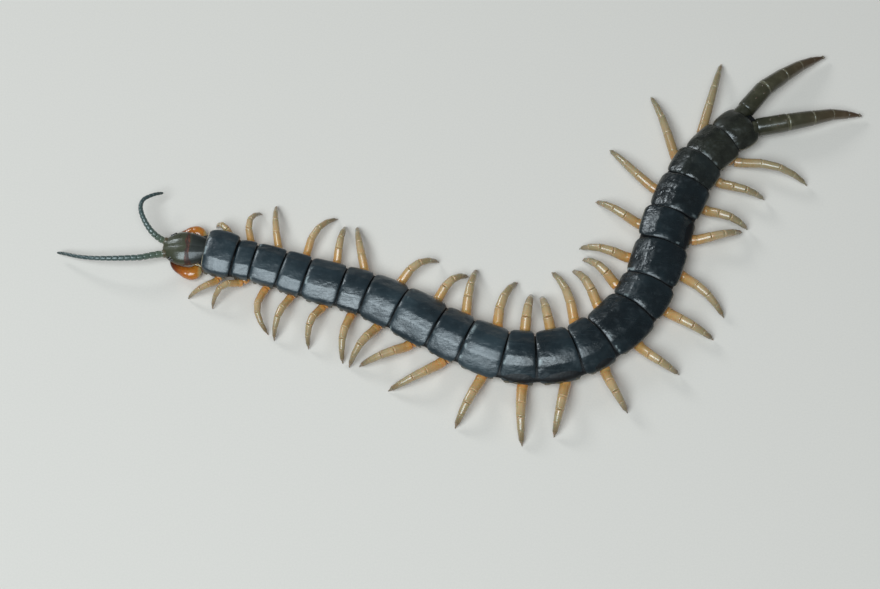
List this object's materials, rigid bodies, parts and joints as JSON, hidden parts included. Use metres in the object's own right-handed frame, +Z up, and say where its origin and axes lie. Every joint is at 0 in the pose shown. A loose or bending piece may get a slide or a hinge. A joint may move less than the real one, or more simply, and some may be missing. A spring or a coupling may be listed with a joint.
{
  "type": "giant centipede",
  "caption": "Life-size still model of a giant centipede at rest: slate-blue plated body in a long bend, tan walking legs, feelers forward, stout olive tail legs.",
  "frame": {"origin": "centre of the model's footprint box, on the floor the feet stand on", "axes": "+Z up from the floor, +X towards the tail end, +Y away from the viewer of the picture; the head is at -X"},
  "size_m": [0.1796, 0.0942, 0.0078],
  "materials": {
    "back_cuticle": "satin",
    "head_cuticle": "satin",
    "leg_cuticle": "satin",
    "tail_leg_cuticle": "satin",
    "feeler_cuticle": "satin",
    "claw_cuticle": "gloss"
  },
  "bodies": {
    "root": {"antenna_left": "feeler_cuticle", "antenna_right": "feeler_cuticle", "forcipule_left": "claw_cuticle", "forcipule_right": "claw_cuticle", "head": "head_cuticle", "leg_01_left": "leg_cuticle", "leg_01_right": "leg_cuticle", "leg_02_left": "leg_cuticle", "leg_02_right": "leg_cuticle", "leg_03_left": "leg_cuticle", "leg_03_right": "leg_cuticle", "leg_04_left": "leg_cuticle", "leg_04_right": "leg_cuticle", "leg_05_left": "leg_cuticle", "leg_05_right": "leg_cuticle", "leg_06_left": "leg_cuticle", "leg_06_right": "leg_cuticle", "leg_07_left": "leg_cuticle", "leg_07_right": "leg_cuticle", "leg_08_left": "leg_cuticle", "leg_08_right": "leg_cuticle", "leg_09_left": "leg_cuticle", "leg_09_right": "leg_cuticle", "leg_10_left": "leg_cuticle", "leg_10_right": "leg_cuticle", "leg_11_left": "leg_cuticle", "leg_11_right": "leg_cuticle", "leg_12_left": "leg_cuticle", "leg_12_right": "leg_cuticle", "leg_13_left": "leg_cuticle", "leg_13_right": "leg_cuticle", "leg_14_left": "leg_cuticle", "leg_14_right": "leg_cuticle", "leg_15_left": "leg_cuticle", "leg_15_right": "leg_cuticle", "leg_16_left": "leg_cuticle", "leg_16_right": "leg_cuticle", "leg_17_left": "leg_cuticle", "leg_17_right": "leg_cuticle", "leg_18_left": "leg_cuticle", "leg_18_right": "leg_cuticle", "leg_19_left": "leg_cuticle", "leg_19_right": "leg_cuticle", "leg_20_left": "leg_cuticle", "leg_20_right": "leg_cuticle", "leg_21_left": "tail_leg_cuticle", "leg_21_right": "tail_leg_cuticle", "trunk_01": "back_cuticle", "trunk_02": "back_cuticle", "trunk_03": "back_cuticle", "trunk_04": "back_cuticle", "trunk_05": "back_cuticle", "trunk_06": "back_cuticle", "trunk_07": "back_cuticle", "trunk_08": "back_cuticle", "trunk_09": "back_cuticle", "trunk_10": "back_cuticle", "trunk_11": "back_cuticle", "trunk_12": "back_cuticle"}
  },
  "joints": []
}
